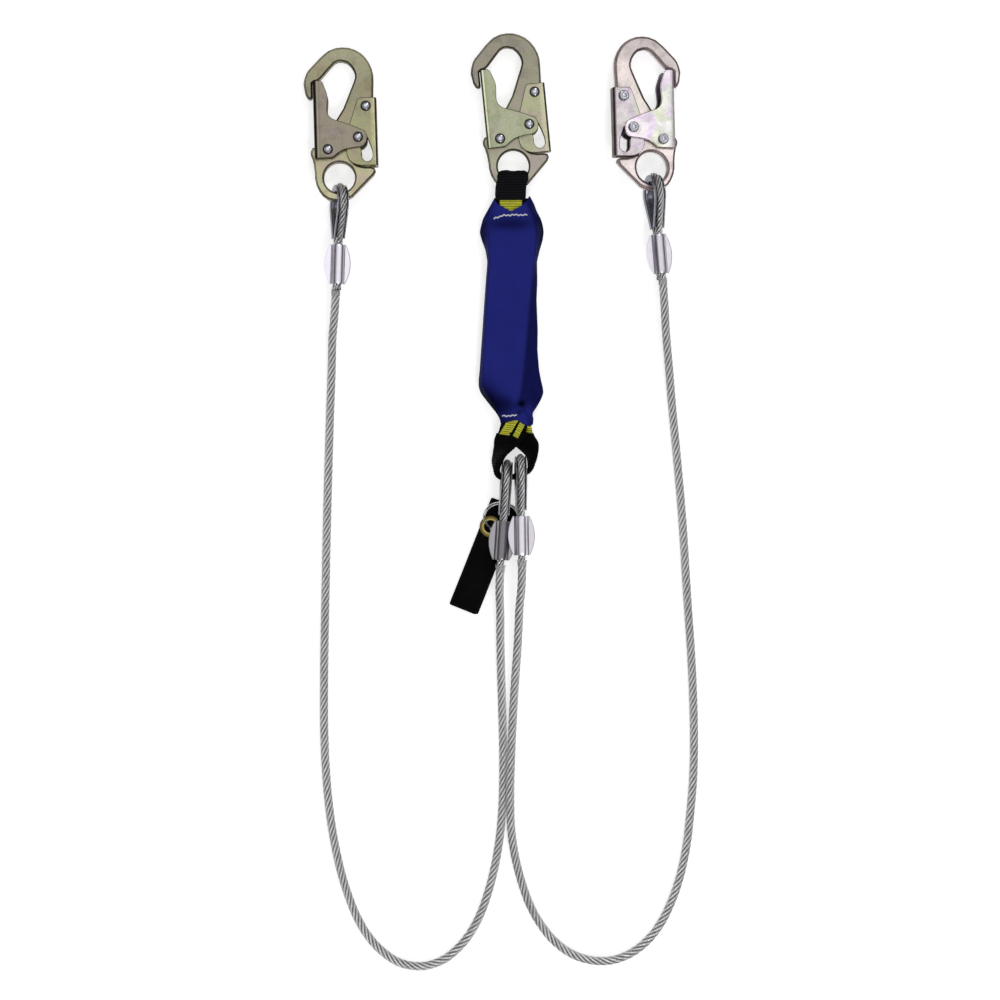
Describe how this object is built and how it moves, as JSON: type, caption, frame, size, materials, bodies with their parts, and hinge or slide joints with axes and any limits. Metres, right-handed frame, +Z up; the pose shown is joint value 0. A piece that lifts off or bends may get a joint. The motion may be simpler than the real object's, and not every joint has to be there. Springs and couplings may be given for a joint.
{
  "type": "twin-leg steel cable lanyard with a shock absorber",
  "caption": "Fall-arrest lanyard: a webbing shock absorber with its own snap hook and two coated steel cable legs, each ending in a snap hook.",
  "frame": {"origin": "centre of the base of the box round the lanyard without its two free cables, as it lies flat", "axes": "+X across the three hooks, +Y from the cables to the hooks' bows, +Z up off the surface it lies on"},
  "size_m": [0.3456, 0.8204, 0.0442],
  "materials": {
    "zinc_steel": "yellow zinc plate, dull gold with a faint bloom",
    "rivet_steel": "bright zinc",
    "spring_steel": "bright spring wire",
    "coated_cable": "galvanised wire rope under a clear vinyl coat",
    "bare_rope": "galvanised wire rope",
    "thimble_steel": "dark galvanised sheet",
    "ferrule_alloy": "pressed bright alloy",
    "cover_cloth": "deep blue woven nylon",
    "sleeve_webbing": "black ribbed webbing",
    "yellow_webbing": "yellow webbing with black edges",
    "tag_cloth": "matte black coated cloth",
    "brass": "pressed brass",
    "ring_steel": "bright nickel"
  },
  "bodies": {
    "absorber": {"pack_cover": "cover_cloth", "upper_webbing": "yellow_webbing", "lower_webbing": "yellow_webbing", "tear_webbing": "yellow_webbing", "upper_sleeve": "sleeve_webbing", "lower_sleeve": "sleeve_webbing"},
    "left_leg": {"left_cable": "coated_cable", "left_hook_rope_eye": "bare_rope", "left_hook_thimble": "thimble_steel", "left_hook_ferrule": "ferrule_alloy", "left_pack_rope_eye": "bare_rope", "left_pack_thimble": "thimble_steel", "left_pack_ferrule": "ferrule_alloy"},
    "right_leg": {"right_cable": "coated_cable", "right_hook_rope_eye": "bare_rope", "right_hook_thimble": "thimble_steel", "right_hook_ferrule": "ferrule_alloy", "right_pack_rope_eye": "bare_rope", "right_pack_thimble": "thimble_steel", "right_pack_ferrule": "ferrule_alloy"},
    "left_hook": {"left_hook_body": "zinc_steel", "left_gate_rivet": "rivet_steel", "left_lever_rivet": "rivet_steel", "left_gate_spring": "spring_steel", "left_lever_spring": "spring_steel"},
    "left_gate": {"left_gate": "zinc_steel", "left_latch_pin": "rivet_steel"},
    "left_lever": {"left_lock_lever": "zinc_steel"},
    "pack_hook": {"pack_hook_body": "zinc_steel", "pack_gate_rivet": "rivet_steel", "pack_lever_rivet": "rivet_steel", "pack_gate_spring": "spring_steel", "pack_lever_spring": "spring_steel"},
    "pack_gate": {"pack_gate": "zinc_steel", "pack_latch_pin": "rivet_steel"},
    "pack_lever": {"pack_lock_lever": "zinc_steel"},
    "right_hook": {"right_hook_body": "zinc_steel", "right_gate_rivet": "rivet_steel", "right_lever_rivet": "rivet_steel", "right_gate_spring": "spring_steel", "right_lever_spring": "spring_steel"},
    "right_gate": {"right_gate": "zinc_steel", "right_latch_pin": "rivet_steel"},
    "right_lever": {"right_lock_lever": "zinc_steel"},
    "ring": {"split_ring": "ring_steel"},
    "tag": {"tag": "tag_cloth", "tag_eyelet": "brass"}
  },
  "joints": [
    {"name": "pack_hook_swing", "type": "hinge", "parent": "absorber", "child": "pack_hook", "pos_m": [0.01827, 0.13825, 0.0108], "axis": [0, 0, 1], "range_deg": [-15, 15]},
    {"name": "left_leg_swing", "type": "hinge", "parent": "absorber", "child": "left_leg", "pos_m": [0.01038, -0.13135, 0.0197], "axis": [0, 0, 1], "range_deg": [-3, 0]},
    {"name": "right_leg_swing", "type": "hinge", "parent": "absorber", "child": "right_leg", "pos_m": [0.02258, -0.12785, 0.0239], "axis": [0, 0, 1], "range_deg": [0, 3]},
    {"name": "left_hook_swing", "type": "hinge", "parent": "left_leg", "child": "left_hook", "pos_m": [-0.13332, 0.12705, 0.0177], "axis": [0, 0, 1], "range_deg": [-15, 45]},
    {"name": "right_hook_swing", "type": "hinge", "parent": "right_leg", "child": "right_hook", "pos_m": [0.13858, 0.13595, 0.0181], "axis": [0, 0, 1], "range_deg": [-20, 5]},
    {"name": "left_gate_hinge", "type": "hinge", "parent": "left_hook", "child": "left_gate", "pos_m": [-0.14332, 0.15089, 0.01508], "axis": [0.0036, -0.1079, -0.9942], "range_deg": [0, 28], "stiffness_Nm_per_rad": 0.5, "springref_deg": -17.19, "deforming": ["left_gate_spring"]},
    {"name": "left_lever_hinge", "type": "hinge", "parent": "left_hook", "child": "left_lever", "pos_m": [-0.11059, 0.18977, 0.01097], "axis": [0.0036, -0.1079, -0.9942], "range_deg": [0, 9], "stiffness_Nm_per_rad": 0.3, "springref_deg": -5.73, "deforming": ["left_lever_spring"]},
    {"name": "pack_gate_hinge", "type": "hinge", "parent": "pack_hook", "child": "pack_gate", "pos_m": [0.00675, 0.16154, 0.0108], "axis": [0, 0, -1], "range_deg": [0, 28], "stiffness_Nm_per_rad": 0.5, "springref_deg": -17.19, "deforming": ["pack_gate_spring"]},
    {"name": "pack_lever_hinge", "type": "hinge", "parent": "pack_hook", "child": "pack_lever", "pos_m": [0.03688, 0.20267, 0.0108], "axis": [0, 0, -1], "range_deg": [0, 9], "stiffness_Nm_per_rad": 0.3, "springref_deg": -5.73, "deforming": ["pack_lever_spring"]},
    {"name": "right_gate_hinge", "type": "hinge", "parent": "right_hook", "child": "right_gate", "pos_m": [0.14687, 0.16031, 0.01448], "axis": [0.2404, 0.0622, 0.9687], "range_deg": [0, 28], "stiffness_Nm_per_rad": 0.5, "springref_deg": -17.19, "deforming": ["right_gate_spring"]},
    {"name": "right_lever_hinge", "type": "hinge", "parent": "right_hook", "child": "right_lever", "pos_m": [0.11288, 0.19784, 0.0205], "axis": [0.2404, 0.0622, 0.9687], "range_deg": [0, 9], "stiffness_Nm_per_rad": 0.3, "springref_deg": -5.73, "deforming": ["right_lever_spring"]},
    {"name": "ring_swing", "type": "hinge", "parent": "left_leg", "child": "ring", "pos_m": [0.01057, -0.15709, 0.0187], "axis": [0, 0, 1], "range_deg": [-4, 4]},
    {"name": "tag_swing", "type": "hinge", "parent": "ring", "child": "tag", "pos_m": [-0.00163, -0.17709, 0.0041], "axis": [0, 0, 1], "range_deg": [-1, 4]}
  ],
  "couplings": [
    {"joint": "left_lever_hinge", "follows": "left_gate_hinge", "ratio": 0.3},
    {"joint": "pack_lever_hinge", "follows": "pack_gate_hinge", "ratio": 0.3},
    {"joint": "right_lever_hinge", "follows": "right_gate_hinge", "ratio": 0.3}
  ]
}
